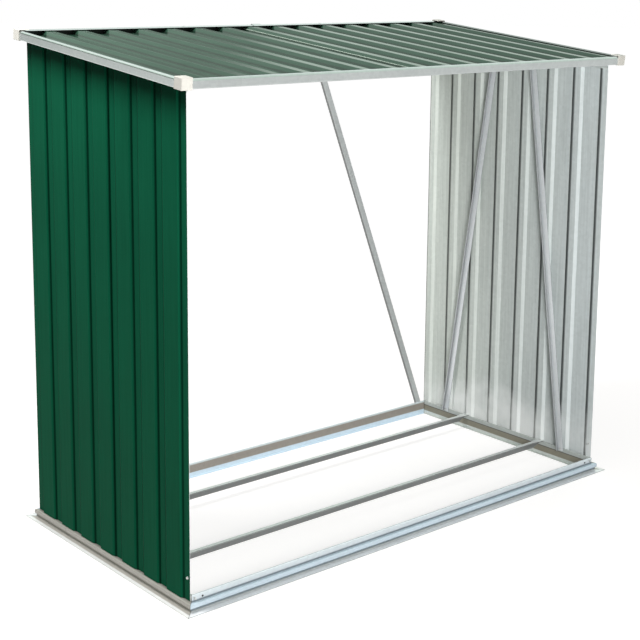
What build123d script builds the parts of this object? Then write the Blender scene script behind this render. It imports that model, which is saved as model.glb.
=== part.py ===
import os
from math import atan2, cos, sin, tan

from build123d import *

# Open-fronted log store in thin sheet steel, in millimetres.
# X runs along the open front, Y to the rear and Z up; the origin is the middle of the base on the ground.

# Overall sizes
base_width = 1714.0
base_depth = 875.0
roof_width = 1726.0
roof_depth = 852.0
roof_place = -11.0
front_height = 1400.0
rear_height = 1489.0

# Base rail: a roll-formed stepped hat, measured outwards from its upright face
rail_gauge = 1.2
rail_lip = 12.0
rail_web_foot = -14.0
rail_ridge = 7.0
rail_height = 42.0
rail_ledge_height = 24.0
rail_ledge = 13.0
rail_crease_height = 7.0
rail_crease_depth = 5.0
rail_crease_lean = 1.0
rail_face_to_edge = 33.0
rail_bend = 2.0
rail_seat_bend = 1.0
rail_nose_bend = 5.0

# Wall sheets: wide pans stand outwards and narrow flats lie inwards
sheet_gauge = 0.8
wall_depth = 808.0
wall_place = 4.0
wall_pans = 7
wall_pitch = 112.0
wall_pan_crown = 64.0
wall_pan_foot = 86.0
wall_rise = 6.0
wall_bend = 1.6

# Roof sheets: narrow ribs run from front to rear
roof_ribs = 16
roof_pitch = 105.5
roof_shift = 36.0
roof_rib_crown = 26.0
roof_rib_foot = 50.0
roof_rise = 12.0
roof_bend = 2.0
lap_rib = 7
lap_play = 0.05
lap_edge_height = 0.35

# Roof trim: a channel whose top flange falls from a rounded shoulder to the ribs of the roof sheets
trim_gauge = 1.2
trim_height = 28.0
trim_top_flange = 18.0
trim_top_fall = 4.1
trim_bottom_flange = 24.0
trim_lip = 8.8
trim_bend = 1.6
trim_shoulder_bend = 6.5
trim_foot_bend = 2.6
sheet_edge_play = 1.0

# Corner caps
cap_wall = 2.0
cap_length = 34.0
cap_edge = 1.2

# Top rails under the roof along the side walls
top_rail_leg = 28.0
top_rail_width = 25.0
top_rail_gauge = 1.2
top_rail_bend = 1.6
top_rail_front_play = 2.0

# Cross bars: tubes with eased corners and flattened ends
bar_size = 18.0
bar_corner = 2.4
bar_place = 180.0
bar_tab_width = 26.0
bar_tab_gauge = 2.4
bar_tab_length = 22.0
bar_tab_corner = 0.6
bar_neck = 26.0
bar_end_play = 0.3

# Braces: folded angles
brace_width = 22.0
brace_stand = 10.0
brace_gauge = 1.5
brace_bend = 2.0
brace_play = 0.2
wall_brace_foot_place = 278.0
wall_brace_head_place = 80.0
wall_brace_foot_height = 34.0
wall_brace_head_drop = 16.0
rear_brace_foot_place = 797.0
rear_brace_head_place = 220.0
rear_brace_head_drop = 7.0
rear_brace_foot_play = 0.7

# Derived places
mitre_reach = rail_face_to_edge - rail_web_foot + 2 * rail_lip
rail_face_x = base_width / 2 - rail_face_to_edge
rail_face_y = base_depth / 2 - rail_face_to_edge
roof_angle = atan2(rear_height - front_height, roof_depth)
roof_slope_depth = roof_depth / cos(roof_angle)
roof_top = Plane(
    origin=(0, roof_place, (front_height + rear_height) / 2),
    x_dir=(1, 0, 0),
    z_dir=(0, -sin(roof_angle), cos(roof_angle)),
)
trim_half_x = roof_width / 2 - cap_wall
trim_half_y = roof_slope_depth / 2 - cap_wall
trim_base = roof_top.offset(-trim_height)
sheet_seat = trim_base.offset(trim_lip)

finished = []


def finish(piece, name):
    piece.part.label = name
    finished.append(piece.part)


def rail_outline():
    nose = rail_ledge - rail_crease_depth
    points = [
        (rail_web_foot - rail_lip, rail_gauge),
        (rail_web_foot, rail_gauge),
        (-rail_ridge, rail_height),
        (0, rail_height),
        (0, rail_ledge_height),
        (rail_ledge, rail_ledge_height),
        (rail_ledge, rail_crease_height + rail_crease_depth),
        (nose, rail_crease_height),
        (nose + rail_crease_lean, rail_gauge),
        (rail_face_to_edge, rail_gauge),
    ]
    bends = [rail_bend, rail_bend, rail_bend, rail_seat_bend, rail_nose_bend, rail_bend, rail_bend, rail_bend]
    return points, bends


def base_rail(side, along_x):
    face = rail_face_y if along_x else rail_face_x
    outward = (0, side, 0) if along_x else (side, 0, 0)
    length = base_width if along_x else base_depth
    points, bends = rail_outline()
    section = Plane(
        origin=tuple(face * axis for axis in outward),
        x_dir=outward,
        z_dir=Vector(*outward).cross(Vector(0, 0, 1)),
    )
    half_x, half_y = base_width / 2, base_depth / 2
    inner_x, inner_y = half_x - mitre_reach, half_y - mitre_reach
    if along_x:
        outer = [(-half_x, side * half_y), (half_x, side * half_y)]
        inner = [(inner_x, side * inner_y), (-inner_x, side * inner_y)]
    else:
        outer = [(side * half_x, -half_y), (side * half_x, half_y)]
        inner = [(side * inner_x, inner_y), (side * inner_x, -inner_y)]
    with BuildPart() as rail:
        with BuildSketch(section):
            with BuildLine():
                FilletPolyline(*points, radius=bends)
                offset(amount=rail_gauge, side=Side.RIGHT)
            make_face()
        extrude(amount=length / 2, both=True)
        # Mitred ends, so that the four rails close into a frame
        with BuildSketch():
            with BuildLine():
                Polyline(*outer, *inner, close=True)
            make_face()
        extrude(amount=rear_height, mode=Mode.INTERSECT)
    return rail


def sheet_line(ribs, start, end, crown, foot, rise, lap=None):
    # The under face of a ribbed sheet. A sheet with a lap starts part of the way up its first rib.
    angle = atan2(rise, (foot - crown) / 2)
    cover = sheet_gauge + lap_play
    points = [] if lap else [(start, 0)]
    for rib in ribs:
        wide = crown / 2
        base = foot / 2
        top = rise
        if lap and rib == ribs[0]:
            wide += cover * tan(angle / 2)
            base += cover / sin(angle)
            top += cover
            low = lap_edge_height * top
            points.append((rib - base + low / tan(angle), low))
        else:
            points.append((rib - base, 0))
        points += [(rib - wide, top), (rib + wide, top), (rib + base, 0)]
    if end is None:
        # A sheet that passes under a lap ends part of the way down its last rib
        low = lap_edge_height * rise
        points[-1] = (ribs[-1] + foot / 2 - low / tan(angle), low)
    else:
        points.append((end, 0))
    return points


def wall_sheet(side, front):
    centres = [wall_place + (n - (wall_pans - 1) / 2) * wall_pitch for n in range(wall_pans)]
    middle = wall_pans // 2
    ribs = centres[: middle + 1] if front else centres[middle:]
    points = sheet_line(
        ribs,
        wall_place - wall_depth / 2,
        None if front else wall_place + wall_depth / 2,
        wall_pan_crown,
        wall_pan_foot,
        wall_rise,
        lap=None if front else True,
    )
    outline = [(side * (rail_face_x + out), along) for along, out in points]
    with BuildPart() as sheet:
        with BuildSketch(Plane.XY.offset(rail_ledge_height + rail_seat_bend)):
            with BuildLine():
                FilletPolyline(*outline, radius=wall_bend)
                offset(amount=sheet_gauge, side=Side.RIGHT if side > 0 else Side.LEFT)
            make_face()
        extrude(amount=rear_height)
        # The top is cut to the slope of the roof, under the trim
        split(bisect_by=trim_base, keep=Keep.BOTTOM)
    return sheet


def roof_sheet(left):
    centres = [roof_shift + (n - (roof_ribs - 1) / 2) * roof_pitch for n in range(roof_ribs)]
    edge = trim_half_x - trim_gauge - sheet_edge_play
    length = trim_half_y - trim_gauge - sheet_edge_play
    ribs = centres[: lap_rib + 1] if left else centres[lap_rib:]
    points = sheet_line(
        ribs,
        -edge,
        None if left else edge,
        roof_rib_crown,
        roof_rib_foot,
        roof_rise,
        lap=None if left else True,
    )
    section = Plane(origin=sheet_seat.origin, x_dir=sheet_seat.x_dir, z_dir=-sheet_seat.y_dir)
    with BuildPart() as sheet:
        with BuildSketch(section):
            with BuildLine():
                FilletPolyline(*points, radius=roof_bend)
                offset(amount=sheet_gauge, side=Side.LEFT)
            make_face()
        extrude(amount=length, both=True)
    return sheet


def roof_trim(side, along_x, start=None, end=None):
    half = trim_half_y if along_x else trim_half_x
    length = trim_half_x if along_x else trim_half_y
    outward = roof_top.y_dir * side if along_x else roof_top.x_dir * side
    inward = -outward
    section = Plane(
        origin=trim_base.origin + outward * half,
        x_dir=inward,
        z_dir=inward.cross(roof_top.z_dir),
    )
    points = [
        (trim_top_flange, trim_height - trim_top_fall),
        (0, trim_height),
        (0, 0),
        (trim_bottom_flange, 0),
        (trim_bottom_flange, trim_lip),
    ]
    bends = [trim_shoulder_bend, trim_foot_bend, trim_bend]
    # In plan the ends are mitred, apart from those that meet in the middle of the rear
    low = -length if start is None else start
    high = length if end is None else end
    low_inner = low + mitre_reach if start is None else low
    high_inner = high - mitre_reach if end is None else high
    outer = side * half
    inner = side * (half - mitre_reach)
    plan = [(low, outer), (high, outer), (high_inner, inner), (low_inner, inner)]
    if not along_x:
        plan = [(across, along) for along, across in plan]
    with BuildPart() as trim:
        with BuildSketch(section):
            with BuildLine():
                FilletPolyline(*points, radius=bends)
                offset(amount=trim_gauge, side=Side.LEFT)
            make_face()
        extrude(amount=length, both=True)
        with BuildSketch(trim_base):
            with BuildLine():
                Polyline(*plan, close=True)
            make_face()
        extrude(amount=trim_height, mode=Mode.INTERSECT)
    return trim


def corner_cap(side_x, side_y):
    centre = (
        side_x * (trim_half_x + cap_wall - cap_length / 2),
        side_y * (trim_half_y + cap_wall - cap_length / 2),
    )
    hollow = (centre[0] - side_x * cap_wall, centre[1] - side_y * cap_wall)
    with BuildPart() as cap:
        with BuildSketch(trim_base.offset(-cap_wall)):
            with Locations(centre):
                Rectangle(cap_length, cap_length)
        extrude(amount=trim_height + 2 * cap_wall)
        chamfer(cap.edges(), length=cap_edge)
        with BuildSketch(trim_base):
            with Locations(hollow):
                Rectangle(cap_length, cap_length)
        extrude(amount=trim_height, mode=Mode.SUBTRACT)
    return cap


def top_rail(side):
    run = trim_half_y - trim_bottom_flange
    section = Plane(origin=sheet_seat.origin, x_dir=sheet_seat.x_dir, z_dir=-sheet_seat.y_dir)
    points = [
        (side * (rail_face_x - top_rail_width), 0),
        (side * rail_face_x, 0),
        (side * rail_face_x, -top_rail_leg),
    ]
    with BuildPart() as rail:
        with BuildSketch(section):
            with BuildLine():
                FilletPolyline(*points, radius=top_rail_bend)
                offset(amount=top_rail_gauge, side=Side.RIGHT if side > 0 else Side.LEFT)
            make_face()
        extrude(amount=run, both=True)
        # The front end stays behind the wall's front edge
        front = wall_place - wall_depth / 2 + top_rail_front_play
        split(bisect_by=Plane((0, front, 0), z_dir=(0, 1, 0)), keep=Keep.TOP)
    return rail


def cross_bar(place):
    top = rail_height + bar_tab_gauge
    tab_end = rail_face_x - bar_end_play
    tab_start = tab_end - bar_tab_length
    neck_start = tab_start - bar_neck
    with BuildPart() as bar:
        with BuildSketch(Plane.YZ) as tube:
            with Locations((place, top - bar_size / 2)):
                Rectangle(bar_size, bar_size)
            chamfer(tube.vertices(), length=bar_corner)
        extrude(amount=neck_start, both=True)
        for side in (-1, 1):
            with BuildSketch(Plane.YZ.offset(side * neck_start)) as tube_end:
                with Locations((place, top - bar_size / 2)):
                    Rectangle(bar_size, bar_size)
                chamfer(tube_end.vertices(), length=bar_corner)
            with BuildSketch(Plane.YZ.offset(side * tab_start)) as tab:
                with Locations((place, top - bar_tab_gauge / 2)):
                    Rectangle(bar_tab_width, bar_tab_gauge)
                chamfer(tab.vertices(), length=bar_tab_corner)
            loft(ruled=True)
            extrude(tab.sketch, amount=side * bar_tab_length)
    return bar


def brace(foot, head, backing, stand_side):
    # An angle from foot to head, with its flat leg turned to the backing and its other leg on one edge.
    run = Vector(*head) - Vector(*foot)
    section = Plane(origin=foot, x_dir=Vector(*backing).cross(run), z_dir=run)
    points = [
        (-stand_side * brace_width / 2, 0),
        (stand_side * brace_width / 2, 0),
        (stand_side * brace_width / 2, -brace_stand),
    ]
    with BuildPart() as bar:
        with BuildSketch(section):
            with BuildLine():
                FilletPolyline(*points, radius=brace_bend)
                offset(amount=brace_gauge, side=Side.RIGHT if stand_side > 0 else Side.LEFT)
            make_face()
        extrude(amount=run.length)
    return bar


def wall_brace(side, end):
    # end is -1 for the front brace and 1 for the rear one
    head_y = end * wall_brace_head_place
    head_z = sheet_seat.origin.Z + head_y * tan(roof_angle) - wall_brace_head_drop
    # The rail's web spreads inwards below its ridge, and the brace's foot clears it
    web_spread = (-rail_ridge - rail_web_foot) / (rail_height - rail_gauge)
    foot_depth = rail_height - wall_brace_foot_height + brace_stand / 2
    foot = (
        side * (rail_face_x - rail_ridge - foot_depth * web_spread),
        end * wall_brace_foot_place,
        wall_brace_foot_height,
    )
    head = (side * (rail_face_x - top_rail_gauge - brace_play), head_y, head_z)
    return brace(foot, head, (side, 0, 0), -side)


def rear_brace(side):
    # The foot stands on the ledge behind the rail's ridge, and the head meets the lip of the roof trim
    seat = sheet_seat.from_local_coords((0, trim_half_y - trim_bottom_flange, -rear_brace_head_drop))
    lean = atan2(rear_brace_foot_place - rear_brace_head_place, rear_height)
    lift = brace_width / 2 * sin(lean) + brace_play
    foot = (
        side * rear_brace_foot_place,
        rail_face_y + rear_brace_foot_play,
        rail_ledge_height + rail_seat_bend + lift,
    )
    head = (side * rear_brace_head_place, seat.Y - brace_stand - 2 * brace_play, seat.Z)
    return brace(foot, head, (0, -1, 0), side)


# Base frame
finish(base_rail(-1, True), "base_front_rail")
finish(base_rail(1, True), "base_rear_rail")
finish(base_rail(-1, False), "base_left_rail")
finish(base_rail(1, False), "base_right_rail")
finish(cross_bar(-bar_place), "base_front_cross_bar")
finish(cross_bar(bar_place), "base_rear_cross_bar")

# Side walls with their top rails and braces
for side, name in ((-1, "left"), (1, "right")):
    finish(wall_sheet(side, True), f"{name}_wall_front_sheet")
    finish(wall_sheet(side, False), f"{name}_wall_rear_sheet")
    finish(top_rail(side), f"{name}_top_rail")
    finish(wall_brace(side, -1), f"{name}_wall_front_brace")
    finish(wall_brace(side, 1), f"{name}_wall_rear_brace")
    finish(rear_brace(side), f"rear_{name}_brace")

# Roof sheets, the trim round them and the corner caps
finish(roof_sheet(True), "roof_left_sheet")
finish(roof_sheet(False), "roof_right_sheet")
finish(roof_trim(-1, True), "roof_front_trim")
finish(roof_trim(1, True, end=0), "roof_rear_left_trim")
finish(roof_trim(1, True, start=0), "roof_rear_right_trim")
finish(roof_trim(-1, False), "roof_left_trim")
finish(roof_trim(1, False), "roof_right_trim")
for side_x, name_x in ((-1, "left"), (1, "right")):
    for side_y, name_y in ((-1, "front"), (1, "rear")):
        finish(corner_cap(side_x, side_y), f"roof_{name_y}_{name_x}_cap")

os.makedirs("parts", exist_ok=True)
for piece in finished:
    export_step(piece, f"parts/{piece.label}.step")
    print(piece.label, round(piece.volume))
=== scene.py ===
import math

import bmesh
import bpy
from mathutils import Matrix, Vector


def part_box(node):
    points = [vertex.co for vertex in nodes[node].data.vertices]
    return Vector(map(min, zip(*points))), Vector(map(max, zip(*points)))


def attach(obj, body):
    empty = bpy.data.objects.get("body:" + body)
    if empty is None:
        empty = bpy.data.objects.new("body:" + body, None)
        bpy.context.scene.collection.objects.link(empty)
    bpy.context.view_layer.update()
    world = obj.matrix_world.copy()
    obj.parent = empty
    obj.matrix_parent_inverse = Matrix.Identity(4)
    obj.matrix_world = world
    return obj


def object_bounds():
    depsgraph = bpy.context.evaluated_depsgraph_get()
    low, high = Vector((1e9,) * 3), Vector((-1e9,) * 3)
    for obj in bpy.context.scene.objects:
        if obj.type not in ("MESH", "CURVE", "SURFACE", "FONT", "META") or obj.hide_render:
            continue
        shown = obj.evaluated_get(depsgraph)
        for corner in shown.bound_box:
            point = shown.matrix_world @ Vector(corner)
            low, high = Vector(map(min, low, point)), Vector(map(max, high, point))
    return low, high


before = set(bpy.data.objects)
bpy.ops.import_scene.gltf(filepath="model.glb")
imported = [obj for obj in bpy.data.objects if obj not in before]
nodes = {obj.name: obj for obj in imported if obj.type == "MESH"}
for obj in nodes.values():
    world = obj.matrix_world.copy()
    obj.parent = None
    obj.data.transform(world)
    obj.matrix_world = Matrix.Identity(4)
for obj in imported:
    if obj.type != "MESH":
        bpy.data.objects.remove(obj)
cadLow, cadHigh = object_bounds()
scene = bpy.context.scene
print("frame loaded with", len(nodes), "nodes")


# Small helpers for the material nodes

def addNode(tree, kind, **settings):
    node = tree.nodes.new(kind)
    for key, value in settings.items():
        setattr(node, key, value)
    return node


def startFinish(name):
    finish = bpy.data.materials.new(name)
    finish.use_nodes = True
    tree = finish.node_tree
    shader = tree.nodes["Principled BSDF"]
    coords = addNode(tree, "ShaderNodeTexCoord").outputs["Object"]
    return finish, tree, shader, coords


def splitAxes(tree, coords):
    split = addNode(tree, "ShaderNodeSeparateXYZ")
    tree.links.new(coords, split.inputs["Vector"])
    return split.outputs


def grain(tree, coords, scale, stretch=(1, 1, 1), detail=3.0):
    # cloudy noise, drawn out along an axis by a small stretch value
    mapping = addNode(tree, "ShaderNodeMapping")
    mapping.inputs["Scale"].default_value = stretch
    noise = addNode(tree, "ShaderNodeTexNoise")
    noise.inputs["Scale"].default_value = scale
    noise.inputs["Detail"].default_value = detail
    tree.links.new(coords, mapping.inputs["Vector"])
    tree.links.new(mapping.outputs["Vector"], noise.inputs["Vector"])
    return noise.outputs["Fac"]


def crystals(tree, coords, scale):
    # one random tone for each zinc crystal
    cells = addNode(tree, "ShaderNodeTexVoronoi")
    cells.inputs["Scale"].default_value = scale
    split = addNode(tree, "ShaderNodeSeparateColor")
    tree.links.new(coords, cells.inputs["Vector"])
    tree.links.new(cells.outputs["Color"], split.inputs["Color"])
    return split.outputs["Red"]


def maths(tree, operation, first, second=None, third=None):
    node = addNode(tree, "ShaderNodeMath", operation=operation)
    for socket, value in zip(node.inputs, (first, second, third)):
        if isinstance(value, (int, float)):
            socket.default_value = value
        elif value is not None:
            tree.links.new(value, socket)
    return node.outputs["Value"]


def ranged(tree, value, low, high, outLow=0.0, outHigh=1.0, smooth=False):
    node = addNode(tree, "ShaderNodeMapRange")
    if smooth:
        node.interpolation_type = "SMOOTHSTEP"
    node.inputs["From Min"].default_value = low
    node.inputs["From Max"].default_value = high
    node.inputs["To Min"].default_value = outLow
    node.inputs["To Max"].default_value = outHigh
    tree.links.new(value, node.inputs["Value"])
    return node.outputs["Result"]


def mixTones(tree, share, first, second, kind="MIX"):
    node = addNode(tree, "ShaderNodeMix", data_type="RGBA", blend_type=kind)
    for socket, value in zip((node.inputs[0], node.inputs[6], node.inputs[7]), (share, first, second)):
        if isinstance(value, (int, float)):
            socket.default_value = value
        elif isinstance(value, tuple):
            socket.default_value = (*value, 1)
        else:
            tree.links.new(value, socket)
    return node.outputs[2]


def mixValues(tree, share, first, second):
    node = addNode(tree, "ShaderNodeMix", data_type="FLOAT")
    for socket, value in zip((node.inputs[0], node.inputs[2], node.inputs[3]), (share, first, second)):
        if isinstance(value, (int, float)):
            socket.default_value = value
        else:
            tree.links.new(value, socket)
    return node.outputs[0]


def darken(tree, share, colour):
    return mixTones(tree, share, colour, (0, 0, 0))


def apart(tree, value, line):
    return maths(tree, "ABSOLUTE", maths(tree, "SUBTRACT", value, line))


def alongWay(tree, vector, direction):
    # how far a vector points along a direction, from -1 to 1
    share = addNode(tree, "ShaderNodeVectorMath", operation="DOT_PRODUCT")
    share.inputs[1].default_value = direction
    tree.links.new(vector, share.inputs[0])
    return share.outputs["Value"]


def sideways(tree, direction):
    # how far a face looks along a direction
    return alongWay(tree, addNode(tree, "ShaderNodeNewGeometry").outputs["True Normal"], direction)


def bouncedRay(tree, path):
    # rays that a glossy face mirrors or a clear one lets through
    return maths(tree, "MAXIMUM", path.outputs["Is Glossy Ray"], path.outputs["Is Transmission Ray"])


def roughen(tree, shader, height, strength, distance):
    bump = addNode(tree, "ShaderNodeBump")
    bump.inputs["Strength"].default_value = strength
    bump.inputs["Distance"].default_value = distance
    tree.links.new(height, bump.inputs["Height"])
    tree.links.new(bump.outputs["Normal"], shader.inputs["Normal"])


# Bare zinc on the bars, braces and trim; upTint is a painted reflection tint for the faces that look up
trimTint = (1.08, 1.0, 1.07)
zinc = {
    "trim": {"tones": ((0.66, 0.70, 0.695), (0.80, 0.84, 0.835)), "metal": 1.0, "upTint": trimTint},
    # painted light: the side trim's tones are a lighter copy of the trim's
    "sideTrim": {"tones": ((0.72, 0.775, 0.76), (0.87, 0.92, 0.905)), "metal": 1.0, "upTint": trimTint},
    "bar": {"tones": ((0.68, 0.71, 0.70), (0.82, 0.85, 0.84)), "metal": 0.40},
    "brace": {"tones": ((0.63, 0.66, 0.68), (0.74, 0.77, 0.79)), "metal": 0.40},
    # painted shade: the rear braces' tones are a darker copy of the braces'
    "rearBrace": {"tones": ((0.49, 0.51, 0.515), (0.58, 0.60, 0.60)), "metal": 0.40},
    "bolt": {"tones": ((0.50, 0.51, 0.51), (0.78, 0.79, 0.78)), "metal": 0.70},
    "hem": {"tones": ((0.26, 0.33, 0.27), (0.36, 0.43, 0.37)), "metal": 0.10},
    "crystalScale": 110.0,
    "streakScale": 160.0,
    "streakStretch": 0.02,
    "streakShare": 0.65,
    "cloudScale": 5.0,
    "cloudShare": 0.45,
    "toneReach": (0.25, 0.75),
    "roughReach": (0.2, 0.8),
    "roughness": (0.26, 0.38),
    "bump": (0.06, 0.0003),
    "upReach": (0.55, 0.85),
}


def zincTone(tree, coords, along):
    stretch = [zinc["streakStretch"] if axis == along else 1.0 for axis in "XYZ"]
    spangle = crystals(tree, coords, zinc["crystalScale"])
    streak = grain(tree, coords, zinc["streakScale"], stretch)
    cloud = grain(tree, coords, zinc["cloudScale"])
    fine = mixValues(tree, zinc["streakShare"], spangle, streak)
    return mixValues(tree, zinc["cloudShare"], fine, cloud), streak


def zincSurface(tree, shader, tone, streak, colour, metal):
    tree.links.new(colour, shader.inputs["Base Color"])
    rough = ranged(tree, tone, *zinc["roughReach"], *zinc["roughness"])
    tree.links.new(rough, shader.inputs["Roughness"])
    shader.inputs["Metallic"].default_value = metal
    roughen(tree, shader, streak, *zinc["bump"])


def zincFinish(name, along, temper, fold=None):
    finish, tree, shader, coords = startFinish(name)
    tone, streak = zincTone(tree, coords, along)
    colour = mixTones(tree, ranged(tree, tone, *zinc["toneReach"]), *zinc[temper]["tones"])
    if fold:
        # painted shade: faces that look along a given way keep only a part of the tone
        facing = sideways(tree, fold["toward"])
        if fold["bothWays"]:
            facing = maths(tree, "ABSOLUTE", facing)
        colour = darken(tree, ranged(tree, facing, *fold["reach"], 0.0, 1 - fold["keep"]), colour)
    # painted reflection: a tint on the faces that look up
    if "upTint" in zinc[temper]:
        warmer = mixTones(tree, 1.0, colour, zinc[temper]["upTint"], "MULTIPLY")
        upward = ranged(tree, sideways(tree, (0, 0, 1)), *zinc["upReach"])
        colour = mixTones(tree, upward, colour, warmer)
    zincSurface(tree, shader, tone, streak, colour, zinc[temper]["metal"])
    return finish


# Base rails: painted light and shade by place on the profile, with a lit nose, ridge, lip and flange, the
# flange's outer part as pale as the lit floor, and a shaded upright foot, web, edge and lines, measured
# outwards from the upright's face and up, in metres
railShape = {
    "faceToEdge": 0.033,
    "metal": 0.35,
    "noseTop": (0.0255, 0.0270),
    "upright": (0.0260, 0.0400),
    "ridge": (0.0405, 0.0415),
    "flange": (0.0052, 0.0034),
    "edge": (0.0300, 0.0310),
    "lip": (-0.0132, -0.0146),
    "blur": 0.001,
    "webLine": (0.0006, 0.0020),
    "innerFacing": (-0.5, -0.8),
    "seat": {"place": (0.0005, 0.0250), "reach": (0.0014, 0.0036)},
    "crease": {"place": (0.0090, 0.0062), "reach": (0.0028, 0.0064)},
    "mitre": (0.0004, 0.0026),
    "mitreKeep": 0.50,
    "mottle": (0.88, 1.04),
}
# painted light and shade: the front and rear rails get lighter, bluer tones and the side rails darker,
# browner ones, as copies of one zinc
frontRailTones = {
    "nose": (0.50, 0.59, 0.665),
    "uprightFoot": (0.55, 0.60, 0.63),
    "uprightHead": (0.60, 0.66, 0.69),
    "ridge": (0.80, 0.85, 0.88),
    "flangeIn": (0.70, 0.73, 0.74),
    "flange": (0.97, 0.98, 0.99),
    "flangeFade": (0.0110, 0.0200),
    "edge": (0.56, 0.58, 0.58),
    "web": (0.35, 0.32, 0.285),
    "webTop": (0.66, 0.72, 0.74),
    "lipTone": (0.70, 0.84, 0.95),
    "webFrom": 0.013,
    "webTo": 0.037,
    "lineKeep": 1.0,
    "seatKeep": 0.42,
    "creaseKeep": 0.34,
}
sideRailTones = {
    "nose": (0.40, 0.38, 0.345),
    "uprightFoot": (0.36, 0.35, 0.32),
    "uprightHead": (0.46, 0.45, 0.42),
    "ridge": (0.52, 0.55, 0.53),
    "flangeIn": (0.50, 0.48, 0.44),
    "flange": (0.97, 0.975, 0.97),
    "flangeFade": (0.0190, 0.0235),
    "edge": (0.80, 0.80, 0.78),
    "web": (0.27, 0.255, 0.20),
    "webTop": (0.50, 0.535, 0.515),
    "lipTone": (0.66, 0.70, 0.67),
    "webFrom": 0.009,
    "webTo": 0.029,
    "lineKeep": 0.35,
    "seatKeep": 0.70,
    "creaseKeep": 0.80,
}


def paintedFoldShade(tree, across, up, fold, keep):
    # painted shade in a fold, from nothing to its full share on the fold's line
    spot = addNode(tree, "ShaderNodeCombineXYZ")
    tree.links.new(across, spot.inputs["X"])
    tree.links.new(up, spot.inputs["Y"])
    away = addNode(tree, "ShaderNodeVectorMath", operation="DISTANCE")
    away.inputs[1].default_value = (*fold["place"], 0)
    tree.links.new(spot.outputs["Vector"], away.inputs[0])
    return ranged(tree, away.outputs["Value"], *fold["reach"], 1 - keep, 0.0, smooth=True)


def stepTone(tree, height, level, below, above):
    blur = railShape["blur"]
    return mixTones(tree, ranged(tree, height, level - blur, level + blur), below, above)


def railOutside(tree, out, up, tones):
    # from the nose to the ridge, and out along the flange, with painted highlights on the nose, ridge and
    # flange and painted shade low on the upright and on the flange's edge
    rise = ranged(tree, up, *railShape["upright"])
    upright = mixTones(tree, rise, tones["uprightFoot"], tones["uprightHead"])
    colour = mixTones(tree, ranged(tree, up, *railShape["noseTop"]), tones["nose"], upright)
    colour = mixTones(tree, ranged(tree, up, *railShape["ridge"]), colour, tones["ridge"])
    fade = ranged(tree, out, *tones["flangeFade"])
    flange = mixTones(tree, fade, tones["flangeIn"], tones["flange"])
    colour = mixTones(tree, ranged(tree, up, *railShape["flange"]), colour, flange)
    colour = mixTones(tree, ranged(tree, out, *railShape["edge"]), colour, tones["edge"])
    # painted shade in the seat and the crease
    for fold in ("seat", "crease"):
        foldShading = paintedFoldShade(tree, out, up, railShape[fold], tones[fold + "Keep"])
        colour = darken(tree, foldShading, colour)
    return mixTones(tree, ranged(tree, out, *railShape["lip"]), colour, tones["lipTone"])


def railInside(tree, up, tones):
    # from the lip on the ground up the web, with a painted reflection on the lip and on the web's top, and
    # painted shade on the web between them and in a dark line where the top begins
    web = stepTone(tree, up, tones["webFrom"], tones["lipTone"], tones["web"])
    web = stepTone(tree, up, tones["webTo"], web, tones["webTop"])
    offLine = apart(tree, up, tones["webTo"])
    return darken(tree, ranged(tree, offLine, *railShape["webLine"], 1 - tones["lineKeep"], 0.0), web)


def railFinish(name, along, across, tones):
    finish, tree, shader, coords = startFinish(name)
    tone, streak = zincTone(tree, coords, along)
    axes = splitAxes(tree, coords)
    up = axes["Z"]
    toEdge = {}
    for axis, halfSpan in (("X", baseHalfX), ("Y", baseHalfY)):
        toEdge[axis] = maths(tree, "SUBTRACT", maths(tree, "ABSOLUTE", axes[axis]), halfSpan)
    out = maths(tree, "ADD", toEdge[across], railShape["faceToEdge"])
    facing = sideways(tree, [float(axis == across) for axis in "XYZ"])
    outward = maths(tree, "MULTIPLY", facing, maths(tree, "SIGN", axes[across]))
    inner = ranged(tree, outward, *railShape["innerFacing"])
    colour = mixTones(tree, inner, railOutside(tree, out, up, tones), railInside(tree, up, tones))
    # the seam of the mitred corners
    offMitre = apart(tree, toEdge["X"], toEdge["Y"])
    seam = ranged(tree, offMitre, *railShape["mitre"], 1 - railShape["mitreKeep"], 0.0)
    colour = darken(tree, seam, colour)
    mottle = ranged(tree, tone, *zinc["toneReach"], *railShape["mottle"])
    colour = mixTones(tree, 1.0, colour, mottle, "MULTIPLY")
    zincSurface(tree, shader, tone, streak, colour, railShape["metal"])
    return finish


# Painted sheet: green coat on the weather side, bare light zinc on the other
wallCoat = {
    "deep": (0.0030, 0.070, 0.034),
    "fresh": (0.0050, 0.090, 0.044),
    "roughness": (0.34, 0.46),
    "specular": 0.01,
}
# painted shade: the roof's coat is a darker, greyer copy of the walls' green paint
roofCoat = {
    "deep": (0.010, 0.037, 0.022),
    "fresh": (0.015, 0.049, 0.030),
    "roughness": (0.14, 0.22),
    "specular": 0.56,
    "dust": (0.060, 0.080, 0.064),
    "dustShare": 0.25,
}
sheet = {
    "streakScale": 150.0,
    "streakStretch": 0.03,
    "cloudScale": 4.0,
    "cloudShare": 0.5,
    "toneReach": (0.3, 0.7),
    "dustReach": (0.2, 0.8),
    "fineScale": 900.0,
    "bump": (0.05, 0.0002),
    "creaseDark": 0.75,
    "creaseHalf": 0.006,
    "outerFacing": (-0.75, -0.60),
    "cutEdge": (0.0006, 0.0002),
    "wallRibs": ("Y", 0.004, 0.112, 0.041),
    "wallEdge": (0.004, 0.404),
    "roofRibs": ("X", 0.08875, 0.1055, 0.025),
    "eavesHeight": 1.4175,
    "eavesReach": (0.010, 0.140),
    "eavesDark": 0.52,
}
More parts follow.
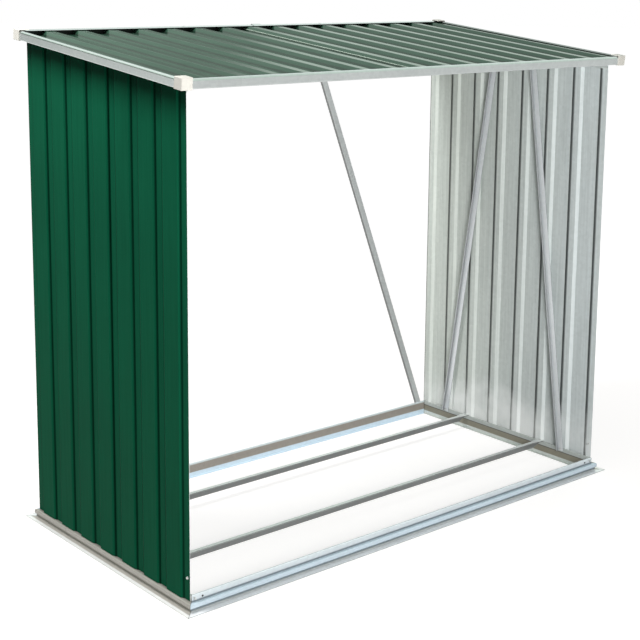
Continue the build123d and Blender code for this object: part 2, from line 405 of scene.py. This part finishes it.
backCoat = {
    "dark": (0.47, 0.50, 0.487),
    "light": (0.62, 0.65, 0.635),
    "roughness": (0.32, 0.42),
    "metal": 0.06,
    "crystalScale": 90.0,
    "streakShare": 0.85,
    "toneReach": (0.2, 0.8),
    "flankDarkReach": (0.15, 0.40),
    "flankDark": 0.72,
    "flankLine": (-0.0440, 0.0020, 0.0048),
    "flankLineDark": 0.66,
    "flankLight": (0.84, 0.87, 0.85),
    "flankLightReach": (-0.20, -0.42),
    "flankLightShare": 0.26,
    "frontTint": (0.958, 0.990, 1.015),
    "rearTint": (0.990, 1.010, 0.965),
    "tintReach": (-0.30, 0.30),
    # painted highlight near the foot
    "footHighlight": (0.88, 0.90, 0.89),
    "footHighlightReach": (0.06, 0.22),
    "footHighlightShare": 0.75,
    "footHighlightScale": 14.0,
    "footHighlightDrift": (-0.05, 0.05),
    "footHighlightPatches": (0.35, 0.65),
}


def overPitch(tree, coords, axis, place, pitch):
    # place across a rib, from its middle
    centred = maths(tree, "SUBTRACT", splitAxes(tree, coords)[axis], place)
    return maths(tree, "WRAP", centred, pitch / 2, -pitch / 2)


def creaseShade(tree, coords, axis, place, pitch, crease):
    # darkest on the pair of crease lines beside each rib
    wrapped = overPitch(tree, coords, axis, place, pitch)
    away = apart(tree, maths(tree, "ABSOLUTE", wrapped), crease)
    return ranged(tree, away, 0.0, sheet["creaseHalf"], sheet["creaseDark"], 0.0, smooth=True)


def coatTone(tree, coords, coat, tone, ribs):
    green = mixTones(tree, ranged(tree, tone, *sheet["toneReach"]), coat["deep"], coat["fresh"])
    green = darken(tree, creaseShade(tree, coords, *ribs), green)
    if "dust" in coat:
        dust = ranged(tree, tone, *sheet["dustReach"], 0.0, coat["dustShare"])
        green = mixTones(tree, dust, green, coat["dust"])
    return green


def eavesShade(tree, axes, green):
    # shade on the wall's coat under the trim
    eaves = maths(tree, "MULTIPLY_ADD", axes["Y"], math.tan(roofTurn), sheet["eavesHeight"])
    drop = maths(tree, "SUBTRACT", eaves, axes["Z"])
    shade = ranged(tree, drop, *sheet["eavesReach"], sheet["eavesDark"], 0.0, smooth=True)
    return darken(tree, shade, green)


def awayFromCut(tree, axes):
    # nothing on the cut edges at the front and rear of a wall, and full elsewhere
    middle, half = sheet["wallEdge"]
    inEdge, atEdge = (half - margin for margin in sheet["cutEdge"])
    return ranged(tree, apart(tree, axes["Y"], middle), inEdge, atEdge, 1.0, 0.0)


def paintedFootHighlight(tree, coords, axes, cloud):
    # painted highlight: pale patches near the foot
    patches = grain(tree, coords, backCoat["footHighlightScale"])
    drift = ranged(tree, patches, *backCoat["toneReach"], *backCoat["footHighlightDrift"])
    height = maths(tree, "ADD", axes["Z"], drift)
    low = ranged(tree, height, *backCoat["footHighlightReach"], backCoat["footHighlightShare"], 0.0, smooth=True)
    return maths(tree, "MULTIPLY", low, ranged(tree, cloud, *backCoat["footHighlightPatches"]))


def backTone(tree, coords, axes, spangle, cloud, wall):
    mottle = ranged(tree, spangle, *backCoat["toneReach"])
    grey = mixTones(tree, mottle, backCoat["dark"], backCoat["light"])
    # the ribs' flanks: painted light where they look to the front, painted shade where they look to the
    # rear
    rearward = sideways(tree, (0, 1, 0))
    litFlank = ranged(tree, rearward, *backCoat["flankLightReach"], 0.0, backCoat["flankLightShare"])
    grey = mixTones(tree, litFlank, grey, backCoat["flankLight"])
    shadedFlank = ranged(tree, rearward, *backCoat["flankDarkReach"], 0.0, backCoat["flankDark"])
    grey = darken(tree, shadedFlank, grey)
    if wall:
        # painted shade: a dark line beside each rib
        line, near, far = backCoat["flankLine"]
        away = apart(tree, overPitch(tree, coords, *sheet["wallRibs"][:3]), line)
        shade = ranged(tree, away, near, far, backCoat["flankLineDark"], 0.0, smooth=True)
        grey = darken(tree, shade, grey)
    # painted light: a cooler tint towards the front and a warmer one towards the rear
    deep = ranged(tree, axes["Y"], *backCoat["tintReach"])
    tint = mixTones(tree, deep, backCoat["frontTint"], backCoat["rearTint"])
    grey = mixTones(tree, 1.0, grey, tint, "MULTIPLY")
    # painted highlight near the foot
    return mixTones(tree, paintedFootHighlight(tree, coords, axes, cloud), grey, backCoat["footHighlight"])


def sheetFinish(name, coat, outward, along, ribs, wall):
    finish, tree, shader, coords = startFinish(name)
    axes = splitAxes(tree, coords)
    stretch = [sheet["streakStretch"] if axis == along else 1.0 for axis in "XYZ"]
    streak = grain(tree, coords, sheet["streakScale"], stretch)
    cloud = grain(tree, coords, sheet["cloudScale"])
    fine = grain(tree, coords, sheet["fineScale"], detail=1.0)
    green = coatTone(tree, coords, coat, mixValues(tree, sheet["cloudShare"], streak, cloud), ribs)
    # the outer side of the sheet, told by which way the face looks
    outer = ranged(tree, sideways(tree, outward), *sheet["outerFacing"])
    if wall:
        green = eavesShade(tree, axes, green)
        outer = maths(tree, "MULTIPLY", outer, awayFromCut(tree, axes))
    cells = crystals(tree, coords, backCoat["crystalScale"])
    spangle = mixValues(tree, backCoat["streakShare"], cells, streak)
    grey = backTone(tree, coords, axes, spangle, cloud, wall)
    tree.links.new(mixTones(tree, outer, grey, green), shader.inputs["Base Color"])
    paintRough = ranged(tree, cloud, *sheet["toneReach"], *coat["roughness"])
    backRough = ranged(tree, spangle, *backCoat["toneReach"], *backCoat["roughness"])
    tree.links.new(mixValues(tree, outer, backRough, paintRough), shader.inputs["Roughness"])
    tree.links.new(mixValues(tree, outer, backCoat["metal"], 0.0), shader.inputs["Metallic"])
    shader.inputs["Specular IOR Level"].default_value = coat["specular"]
    roughen(tree, shader, fine, *sheet["bump"])
    return finish


# Moulded corner caps
plastic = {
    "shade": (0.50, 0.485, 0.44),
    "bright": (0.59, 0.58, 0.535),
    "cloudScale": 40.0,
    "toneReach": (0.3, 0.7),
    "roughness": (0.42, 0.55),
    "stippleScale": 1400.0,
    "bump": (0.08, 0.0002),
}


def plasticFinish(name):
    finish, tree, shader, coords = startFinish(name)
    cloud = grain(tree, coords, plastic["cloudScale"])
    stipple = grain(tree, coords, plastic["stippleScale"], detail=1.0)
    tree.links.new(mixTones(tree, cloud, plastic["shade"], plastic["bright"]), shader.inputs["Base Color"])
    rough = ranged(tree, cloud, *plastic["toneReach"], *plastic["roughness"])
    tree.links.new(rough, shader.inputs["Roughness"])
    roughen(tree, shader, stipple, *plastic["bump"])
    return finish


# Painted shade: a near-black disc stands for the shade inside an unused bolt hole
holeTone = {
    "black": (0.010, 0.010, 0.010),
    "grey": (0.035, 0.034, 0.032),
    "scale": 700.0,
    "toneReach": (0.3, 0.7),
    "roughness": (0.7, 0.9),
}


def holeFinish(name):
    finish, tree, shader, coords = startFinish(name)
    cloud = grain(tree, coords, holeTone["scale"])
    tree.links.new(mixTones(tree, cloud, holeTone["black"], holeTone["grey"]), shader.inputs["Base Color"])
    rough = ranged(tree, cloud, *holeTone["toneReach"], *holeTone["roughness"])
    tree.links.new(rough, shader.inputs["Roughness"])
    return finish


# Sizes of the frame that the finishes and the small pieces are set out from
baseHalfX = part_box("base_front_rail")[1].x
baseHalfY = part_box("base_rear_rail")[1].y
faceX = baseHalfX - railShape["faceToEdge"]
faceY = baseHalfY - railShape["faceToEdge"]
roof = {
    "front": 1.400,
    "rear": 1.489,
    "depth": 0.852,
    "place": -0.011,
    "trimHeight": 0.028,
    "capWall": 0.002,
}
roofTurn = math.atan2(roof["rear"] - roof["front"], roof["depth"])
roofMiddle = (0, roof["place"], (roof["front"] + roof["rear"]) / 2)
roofMatrix = Matrix.Translation(roofMiddle) @ Matrix.Rotation(roofTurn, 4, "X")
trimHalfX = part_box("roof_right_trim")[1].x
trimHalfY = roof["depth"] / math.cos(roofTurn) / 2 - roof["capWall"]

# Painted shade: faces that are darker than the rest of their piece, for the way light falls on them
faceShadeReach = (0.35, 0.75)
sideFaceShade = {"toward": (0, 1, 0), "bothWays": True, "reach": faceShadeReach, "keep": 0.46}
barFaceShade = {"toward": (0, 1, 0), "bothWays": True, "reach": faceShadeReach, "keep": 0.27}
endFaceShade = {"toward": (1, 0, 0), "bothWays": True, "reach": faceShadeReach, "keep": 0.36}
rearShade = {"toward": (0, -1, 0), "bothWays": False, "reach": faceShadeReach, "keep": 0.05}
frontShade = {"toward": (0, -1, 0), "bothWays": False, "reach": faceShadeReach, "keep": 0.83}
rightShade = {"toward": (-1, 0, 0), "bothWays": False, "reach": (0.10, 0.20), "keep": 0.30}

zincX = zincFinish("zincAlongFront", "X", "trim", frontShade)
zincY = zincFinish("zincAlongSide", "Y", "sideTrim")
zincRearTrim = zincFinish("zincRearTrim", "X", "trim", rearShade)
zincRightTrim = zincFinish("zincRightTrim", "Y", "sideTrim", rightShade)
zincBars = zincFinish("zincBars", "X", "bar", barFaceShade)
zincWallBrace = zincFinish("zincWallBraces", "Z", "brace", sideFaceShade)
zincRearBrace = zincFinish("zincRearBraces", "Z", "rearBrace", endFaceShade)
zincBolts = zincFinish("zincBolts", None, "bolt")
zincHem = zincFinish("zincLapHem", "Y", "hem")
zincRailX = railFinish("zincRailAlongFront", "X", "Y", frontRailTones)
zincRailY = railFinish("zincRailAlongSide", "Y", "X", sideRailTones)
leftWallGreen = sheetFinish("greenLeftWall", wallCoat, (-1, 0, 0), "Z", sheet["wallRibs"], True)
rightWallGreen = sheetFinish("greenRightWall", wallCoat, (1, 0, 0), "Z", sheet["wallRibs"], True)
roofGreen = sheetFinish("greenRoof", roofCoat, (0, 0, 1), "Y", sheet["roofRibs"], False)
capPlastic = plasticFinish("creamCaps")
holeDark = holeFinish("holeDark")


def pickFinish(name):
    if "roof" in name and "sheet" in name:
        return roofGreen
    if "sheet" in name:
        return leftWallGreen if "left" in name else rightWallGreen
    if "cap" in name:
        return capPlastic
    if "cross_bar" in name:
        return zincBars
    if "brace" in name:
        return zincWallBrace if "wall" in name else zincRearBrace
    if name in ("base_left_rail", "base_right_rail"):
        return zincRailY
    if name in ("base_front_rail", "base_rear_rail"):
        return zincRailX
    if "roof_rear" in name:
        return zincRearTrim
    if name == "roof_right_trim":
        return zincRightTrim
    if name == "roof_left_trim" or "top_rail" in name:
        return zincY
    return zincX


for name, piece in nodes.items():
    piece.data.materials.clear()
    piece.data.materials.append(pickFinish(name))
print("finishes on", len(nodes), "nodes")


# Small pieces: each shape is made once, standing on Z, and set down at its places
smallPiece = {"sharpAngle": 32.0, "easeSegments": 2, "near": 1e-6}


def keepShape(bm, name):
    bmesh.ops.recalc_face_normals(bm, faces=bm.faces)
    for face in bm.faces:
        face.smooth = True
    shape = bpy.data.meshes.new(name)
    bm.to_mesh(shape)
    bm.free()
    return shape


def setDown(shape, places):
    bm = bmesh.new()
    for place, outward in places:
        first = len(bm.verts)
        bm.from_mesh(shape)
        bm.verts.ensure_lookup_table()
        stand = Vector(outward).to_track_quat("Z", "Y").to_matrix().to_4x4()
        bmesh.ops.transform(bm, matrix=Matrix.Translation(place) @ stand, verts=bm.verts[first:])
    return bm


def addPiece(bm, name, finish):
    mesh = bpy.data.meshes.new(name)
    bm.to_mesh(mesh)
    bm.free()
    mesh.materials.append(finish)
    mesh.set_sharp_from_angle(angle=math.radians(smallPiece["sharpAngle"]))
    piece = bpy.data.objects.new(name, mesh)
    scene.collection.objects.link(piece)
    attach(piece, "root")


def addDisc(bm, radius, tip, low, high, segments):
    bmesh.ops.create_cone(bm, cap_ends=True, segments=segments, radius1=radius, radius2=tip,
                          depth=high - low, matrix=Matrix.Translation((0, 0, (low + high) / 2)))


def easeTop(bm, level, offset):
    lowest = level - smallPiece["near"]
    rim = [edge for edge in bm.edges if all(vert.co.z > lowest for vert in edge.verts)]
    bmesh.ops.bevel(bm, geom=rim, offset=offset, segments=smallPiece["easeSegments"], profile=0.5,
                    affect="EDGES", material=-1)


# Hex bolts with washers, and the nuts behind them; sunk a little so that they seat
bolt = {
    "washer": 0.0039,
    "plate": 0.0010,
    "head": 0.0032,
    "tall": 0.0029,
    "ease": 0.0005,
    "shank": 0.0022,
    "shankTall": 0.0032,
    "sunk": 0.0002,
    "washerSides": 20,
    "headSides": 6,
    "shankSides": 12,
}


def shapeBolt(withShank):
    bm = bmesh.new()
    plateTop = bolt["plate"]
    headTop = plateTop + bolt["tall"]
    addDisc(bm, bolt["washer"], bolt["washer"], -bolt["sunk"], plateTop, bolt["washerSides"])
    addDisc(bm, bolt["head"], bolt["head"], plateTop, headTop, bolt["headSides"])
    easeTop(bm, headTop, bolt["ease"])
    if withShank:
        shankTop = headTop + bolt["shankTall"]
        addDisc(bm, bolt["shank"], bolt["shank"], headTop, shankTop, bolt["shankSides"])
        easeTop(bm, shankTop, bolt["ease"])
    return keepShape(bm, "nutShape" if withShank else "boltShape")


boltShape = shapeBolt(False)
nutShape = shapeBolt(True)

# Fixings of the walls: a bolt through the front flange near the foot, with its nut inside
wallFixing = {"along": -0.3894, "height": 0.0872, "sheet": 0.0008}


def wallBolts():
    along, height = wallFixing["along"], wallFixing["height"]
    heads, nuts = [], []
    for side in (-1, 1):
        heads.append(((side * (faceX + wallFixing["sheet"]), along, height), (side, 0, 0)))
        nuts.append(((side * faceX, along, height), (-side, 0, 0)))
    addPiece(setDown(boltShape, heads), "wallBolts", zincBolts)
    addPiece(setDown(nutShape, nuts), "wallNuts", zincBolts)


# Fixings of the braces, along each brace from its ends
braceFixing = {
    "gauge": 0.0015,
    "wallFoot": (0.81477, 0.278, 0.034),
    "wallHead": (0.8226, 0.080, 1.4094),
    "wallHeadRise": 0.00836,
    "footIn": 0.0065,
    "headIn": 0.0075,
    "rearFoot": (0.797, 0.4052, 0.0292),
    "rearHead": (0.220, 0.38145, 1.4602),
    "rearFootIn": 0.009,
}


def onLeg(start, end, away, outward):
    # a point on the flat leg, some way from its end, and the way the leg faces there
    run = (end - start).normalized()
    facing = (outward - run * outward.dot(run)).normalized()
    return start + run * away + facing * braceFixing["gauge"], facing


def braceBolts():
    places = []
    for side in (-1, 1):
        for end in (-1, 1):
            x, y, z = braceFixing["wallFoot"]
            foot = Vector((side * x, end * y, z))
            x, y, z = braceFixing["wallHead"]
            head = Vector((side * x, end * y, z + end * braceFixing["wallHeadRise"]))
            inward = Vector((-side, 0, 0))
            places.append(onLeg(foot, head, braceFixing["footIn"], inward))
            places.append(onLeg(head, foot, braceFixing["headIn"], inward))
        foot = Vector(braceFixing["rearFoot"])
        head = Vector(braceFixing["rearHead"])
        foot.x *= side
        head.x *= side
        places.append(onLeg(foot, head, braceFixing["rearFootIn"], Vector((0, 1, 0))))
    addPiece(setDown(boltShape, places), "braceBolts", zincBolts)


# Fixings of the base: bolts on the bars' flat ends, nuts at the corners, spare holes in the front rail
baseFixing = {
    "tab": (0.8175, 0.180, 0.0444),
    "cornerNut": (0.8140, 0.0325),
    "cornerBolt": (0.837, -0.408, 0.0185),
    "hole": (0.788, 0.0320),
    "holeRadius": 0.0030,
    "holeProud": 0.00020,
    "holeRim": 0.0005,
    "holeDish": 0.00015,
    "holeSides": 20,
}


def baseBolts():
    tabX, tabY, tabZ = baseFixing["tab"]
    tabs = [((x, y, tabZ), (0, 0, 1)) for x in (-tabX, tabX) for y in (-tabY, tabY)]
    nutX, nutZ = baseFixing["cornerNut"]
    nuts = [((x, y * faceY, nutZ), (0, y, 0)) for x in (-nutX, nutX) for y in (-1, 1)]
    cornerX, cornerY, cornerZ = baseFixing["cornerBolt"]
    corners = [((cornerX, y, cornerZ), (1, 0, 0)) for y in (cornerY, -cornerY)]
    addPiece(setDown(boltShape, tabs), "barBolts", zincBolts)
    addPiece(setDown(nutShape, nuts + corners), "cornerNuts", zincBolts)


# painted shade: dark discs on the front rail stand for its spare holes
def railHoles():
    bm = bmesh.new()
    radius = baseFixing["holeRadius"]
    addDisc(bm, radius, radius, -bolt["sunk"], baseFixing["holeProud"], baseFixing["holeSides"])
    mouth = [max(bm.faces, key=lambda face: face.calc_center_median().z)]
    bmesh.ops.inset_region(bm, faces=mouth, thickness=baseFixing["holeRim"])
    bmesh.ops.translate(bm, vec=(0, 0, -baseFixing["holeDish"]), verts=mouth[0].verts)
    shape = keepShape(bm, "holeShape")
    x, z = baseFixing["hole"]
    places = [((side * x, -faceY, z), (0, -1, 0)) for side in (-1, 1)]
    addPiece(setDown(shape, places), "railHoles", holeDark)


# Domed screws on the top flange of the rear trim
trimScrew = {
    "radius": 0.0034,
    "tall": 0.0018,
    "collar": 0.0042,
    "collarTall": 0.0005,
    "along": 0.28,
    "inset": 0.0090,
    "flange": 0.018,
    "fall": 0.0041,
    "domeSides": 16,
    "domeRings": 10,
    "collarSides": 18,
}


def trimScrews():
    bm = bmesh.new()
    radius = trimScrew["radius"]
    bmesh.ops.create_uvsphere(bm, u_segments=trimScrew["domeSides"], v_segments=trimScrew["domeRings"],
                              radius=radius)
    bmesh.ops.bisect_plane(bm, geom=bm.verts[:] + bm.edges[:] + bm.faces[:], plane_co=(0, 0, 0),
                           plane_no=(0, 0, 1), clear_inner=True)
    bmesh.ops.scale(bm, vec=(1, 1, trimScrew["tall"] / radius), verts=bm.verts)
    bmesh.ops.translate(bm, vec=(0, 0, trimScrew["collarTall"]), verts=bm.verts)
    collar = trimScrew["collar"]
    addDisc(bm, collar, collar, -bolt["sunk"], trimScrew["collarTall"], trimScrew["collarSides"])
    shape = keepShape(bm, "screwShape")
    sink = -trimScrew["fall"] * trimScrew["inset"] / trimScrew["flange"]
    facing = roofMatrix.to_3x3() @ Vector((0, -trimScrew["fall"], trimScrew["flange"])).normalized()
    y = trimHalfY - trimScrew["inset"]
    places = [(roofMatrix @ Vector((side * trimScrew["along"], y, sink)), facing) for side in (-1, 1)]
    addPiece(setDown(shape, places), "trimScrews", zincBolts)


# Sleeve over the joint of the rear trim, folded from a strip
joiner = {
    "middle": 0.010,
    "wide": 0.034,
    "gauge": 0.0012,
    "gap": 0.0003,
    "top": 0.022,
    "bottom": 0.020,
    "shoulder": 0.0052,
    "foot": 0.0022,
    "bendSegments": 4,
}


def isNear(place, y, z):
    return max(abs(place.y - y), abs(place.z - z)) < smallPiece["near"]


def trimJoiner():
    bm = bmesh.new()
    outer = trimHalfY + joiner["gap"]
    low = -roof["trimHeight"] - joiner["gap"]
    fall = trimScrew["fall"] * joiner["top"] / trimScrew["flange"]
    outline = ((outer - joiner["top"], joiner["gap"] - fall), (outer, joiner["gap"]), (outer, low),
               (outer - joiner["bottom"], low))
    start = joiner["middle"] - joiner["wide"] / 2
    corners = [bm.verts.new((start, y, z)) for y, z in outline]
    folds = [bm.edges.new(pair) for pair in zip(corners, corners[1:])]
    strip = bmesh.ops.extrude_edge_only(bm, edges=folds)["geom"]
    moved = [item for item in strip if isinstance(item, bmesh.types.BMVert)]
    bmesh.ops.translate(bm, vec=(joiner["wide"], 0, 0), verts=moved)
    for level, offset in ((joiner["gap"], joiner["shoulder"]), (low, joiner["foot"])):
        fold = [edge for edge in bm.edges if all(isNear(vert.co, outer, level) for vert in edge.verts)]
        bmesh.ops.bevel(bm, geom=fold, offset=offset, segments=joiner["bendSegments"], profile=0.5,
                        affect="EDGES", material=-1)
    # the strip thickens away from the trim
    bmesh.ops.recalc_face_normals(bm, faces=bm.faces)
    web = max(bm.faces, key=lambda face: face.calc_center_median().y)
    if web.normal.y < 0:
        bmesh.ops.reverse_faces(bm, faces=bm.faces)
    bmesh.ops.solidify(bm, geom=bm.faces[:], thickness=-joiner["gauge"])
    for face in bm.faces:
        face.smooth = True
    bmesh.ops.transform(bm, matrix=roofMatrix, verts=bm.verts)
    addPiece(bm, "trimJoiner", zincX)


# Bare hem along the free edge of the roof's lap, placed from the middle of the roof and down from its top
lapHem = {
    "across": -0.0388,
    "down": 0.0143,
    "radius": 0.0014,
    "ease": 0.0006,
    "endGap": 0.0030,
    "sides": 12,
}


def roofLapHem():
    bm = bmesh.new()
    half = trimHalfY - lapHem["endGap"]
    addDisc(bm, lapHem["radius"], lapHem["radius"], -half, half, lapHem["sides"])
    easeTop(bm, half, lapHem["ease"])
    bmesh.ops.rotate(bm, cent=(0, 0, 0), matrix=Matrix.Rotation(math.pi, 3, "X"), verts=bm.verts)
    easeTop(bm, half, lapHem["ease"])  # the other end
    bmesh.ops.rotate(bm, cent=(0, 0, 0), matrix=Matrix.Rotation(math.pi / 2, 3, "X"), verts=bm.verts)
    bmesh.ops.translate(bm, vec=(lapHem["across"], 0, -lapHem["down"]), verts=bm.verts)
    for face in bm.faces:
        face.smooth = True
    bmesh.ops.transform(bm, matrix=roofMatrix, verts=bm.verts)
    addPiece(bm, "roofLapHem", zincHem)


# Moulding marks on the tops of the corner caps
capPip = {"radius": 0.0036, "tip": 0.0029, "tall": 0.0006, "ease": 0.0002, "inset": 0.015, "sides": 18}


def capPips():
    bm = bmesh.new()
    addDisc(bm, capPip["radius"], capPip["tip"], -bolt["sunk"], capPip["tall"], capPip["sides"])
    easeTop(bm, capPip["tall"], capPip["ease"])
    shape = keepShape(bm, "pipShape")
    facing = roofMatrix.to_3x3() @ Vector((0, 0, 1))
    x = trimHalfX - capPip["inset"]
    y = trimHalfY - capPip["inset"]
    places = [(roofMatrix @ Vector((sideX * x, sideY * y, roof["capWall"])), facing)
              for sideX in (-1, 1) for sideY in (-1, 1)]
    addPiece(setDown(shape, places), "capPips", capPlastic)


wallBolts()
braceBolts()
baseBolts()
railHoles()
trimScrews()
trimJoiner()
roofLapHem()
capPips()
print("bolts, screws, joiner, hem and pips set")


# Floor, world and lamps
studio = {
    "floorRadius": 40.0,
    "floorSides": 64,
    "floorRoughness": 0.9,
    "floorDrop": 0.0006,
    "floorColour": (0.40, 0.39, 0.375),
    "floorLift": (0.72, 0.95),
    "floorLiftReach": (1.6, 5.0),
    "glossLift": (0.35, 0.74),
    "glossReach": (0.80, 1.05),
    "keySide": (-0.70, -0.50, 0.50),
    "fill": (0.03, 0.24),
    "mirror": (0.74, 1.05),
    "mirrorRise": (-0.02, 0.30),
    "lowTint": (0.88, 1.0, 0.91),
    "highTint": (0.86, 1.00, 0.90),
    "fall": (-0.6, 0.8),
    "dimSide": (-0.70, 0.714, 0.0),
    "dimReach": (0.085, 0.145),
    "dimRise": (0.30, 0.50),
    "dimDepth": 0.76,
}
lamps = {
    "leftBox": {"place": (-1.75, 0.7, 3.1), "aim": (-0.82, 0.0, 0.75), "size": 0.9, "power": 105.0},
    "frontBox": {"place": (-0.9, -2.8, 1.2), "aim": (0.80, 0.0, 0.65), "size": 1.0, "power": 100.0},
    "rightBox": {"place": (3.0, 0.9, 1.6), "aim": (0.86, 0.0, 0.7), "size": 1.4, "power": 24.0},
    "topBox": {"place": (0.2, 0.3, 4.2), "aim": (0.2, 0.0, 0.8), "size": 3.0, "power": 22.0},
}


def layFloor():
    bm = bmesh.new()
    bmesh.ops.create_circle(bm, cap_ends=True, segments=studio["floorSides"],
                            radius=studio["floorRadius"])
    bmesh.ops.translate(bm, verts=bm.verts, vec=(0, 0, cadLow.z - studio["floorDrop"]))
    mesh = bpy.data.meshes.new("floor")
    bm.to_mesh(mesh)
    bm.free()
    floor = bpy.data.objects.new("floor", mesh)
    scene.collection.objects.link(floor)
    finish, tree, shader, coords = startFinish("paleFloor")
    shader.inputs["Base Color"].default_value = (*studio["floorColour"], 1)
    shader.inputs["Roughness"].default_value = studio["floorRoughness"]
    shader.inputs["Specular IOR Level"].default_value = 0.0
    shader.inputs["Emission Color"].default_value = (1, 1, 1, 1)
    # it glows for the camera, more so further out, and for mirror rays, less so under the store
    away = addNode(tree, "ShaderNodeVectorMath", operation="LENGTH")
    tree.links.new(coords, away.inputs[0])
    lift = ranged(tree, away.outputs["Value"], *studio["floorLiftReach"], *studio["floorLift"], smooth=True)
    # how far out a point is, as a share of the object's half width or depth
    axes = splitAxes(tree, coords)
    across = maths(tree, "DIVIDE", maths(tree, "ABSOLUTE", axes["X"]), cadHigh.x)
    deep = maths(tree, "DIVIDE", maths(tree, "ABSOLUTE", axes["Y"]), cadHigh.y)
    outside = maths(tree, "MAXIMUM", across, deep)
    gloss = ranged(tree, outside, *studio["glossReach"], *studio["glossLift"], smooth=True)
    path = addNode(tree, "ShaderNodeLightPath")
    mirrored = maths(tree, "MULTIPLY", bouncedRay(tree, path), gloss)
    strength = maths(tree, "MULTIPLY_ADD", path.outputs["Is Camera Ray"], lift, mirrored)
    tree.links.new(strength, shader.inputs["Emission Strength"])
    mesh.materials.append(finish)


def lightWorld():
    world = bpy.data.worlds.new("paleRoom")
    scene.world = world
    world.use_nodes = True
    tree = world.node_tree
    background = tree.nodes["Background"]
    # the room is brighter towards the key side, and plain white where the camera looks
    toward = addNode(tree, "ShaderNodeTexCoord").outputs["Generated"]
    keyed = alongWay(tree, toward, studio["keySide"])
    fill = ranged(tree, keyed, *studio["fall"], *studio["fill"], smooth=True)
    path = addNode(tree, "ShaderNodeLightPath")
    bounced = bouncedRay(tree, path)
    rise = splitAxes(tree, toward)["Z"]
    mirror = ranged(tree, rise, *studio["mirrorRise"], *studio["mirror"], smooth=True)
    # in mirrors the room is darker low down, on the side behind the left corner
    dimAcross = ranged(tree, alongWay(tree, toward, studio["dimSide"]), *studio["dimReach"], smooth=True)
    dimUp = ranged(tree, rise, *studio["dimRise"], studio["dimDepth"], 0.0, smooth=True)
    dim = maths(tree, "MULTIPLY", dimAcross, dimUp)
    mirror = maths(tree, "MULTIPLY", mirror, maths(tree, "SUBTRACT", 1.0, dim))
    level = mixValues(tree, bounced, fill, mirror)
    tint = mixTones(tree, ranged(tree, rise, *studio["mirrorRise"]), studio["lowTint"], studio["highTint"])
    tree.links.new(mixTones(tree, bounced, (1, 1, 1), tint), background.inputs["Color"])
    strength = mixValues(tree, path.outputs["Is Camera Ray"], level, 1.0)
    tree.links.new(strength, background.inputs["Strength"])


def hangLamps():
    for name, lamp in lamps.items():
        light = bpy.data.lights.new(name, "AREA")
        light.shape = "SQUARE"
        light.size = lamp["size"]
        light.energy = lamp["power"]
        holder = bpy.data.objects.new(name, light)
        scene.collection.objects.link(holder)
        holder.location = lamp["place"]
        away = Vector(lamp["place"]) - Vector(lamp["aim"])
        holder.rotation_euler = away.to_track_quat("Z", "Y").to_euler()
        holder.visible_camera = False
        holder.visible_glossy = False


# Camera fitted to the photograph, with angles in degrees and the sensor and lens in millimetres
cameraFit = {
    "place": (-2.7264, -3.1613, 1.6553),
    "yaw": 40.23,
    "pitch": 9.908,
    "roll": -0.531,
    "sensor": 36.0,
    "lens": 76.351,
    "shiftY": -0.1719,
}


def setCamera():
    camera = bpy.data.cameras.new("photoCamera")
    camera.sensor_width = cameraFit["sensor"]
    camera.lens = cameraFit["lens"]
    camera.shift_y = cameraFit["shiftY"]
    holder = bpy.data.objects.new("photoCamera", camera)
    scene.collection.objects.link(holder)
    turn = Matrix.Rotation(-math.radians(cameraFit["yaw"]), 4, "Z")
    tilt = Matrix.Rotation(math.radians(90 - cameraFit["pitch"]), 4, "X")
    roll = Matrix.Rotation(-math.radians(cameraFit["roll"]), 4, "Z")
    holder.matrix_world = Matrix.Translation(cameraFit["place"]) @ turn @ tilt @ roll
    scene.camera = holder


layFloor()
lightWorld()
hangLamps()
setCamera()
scene.view_settings.view_transform = "Standard"
print("floor, lamps and camera set")
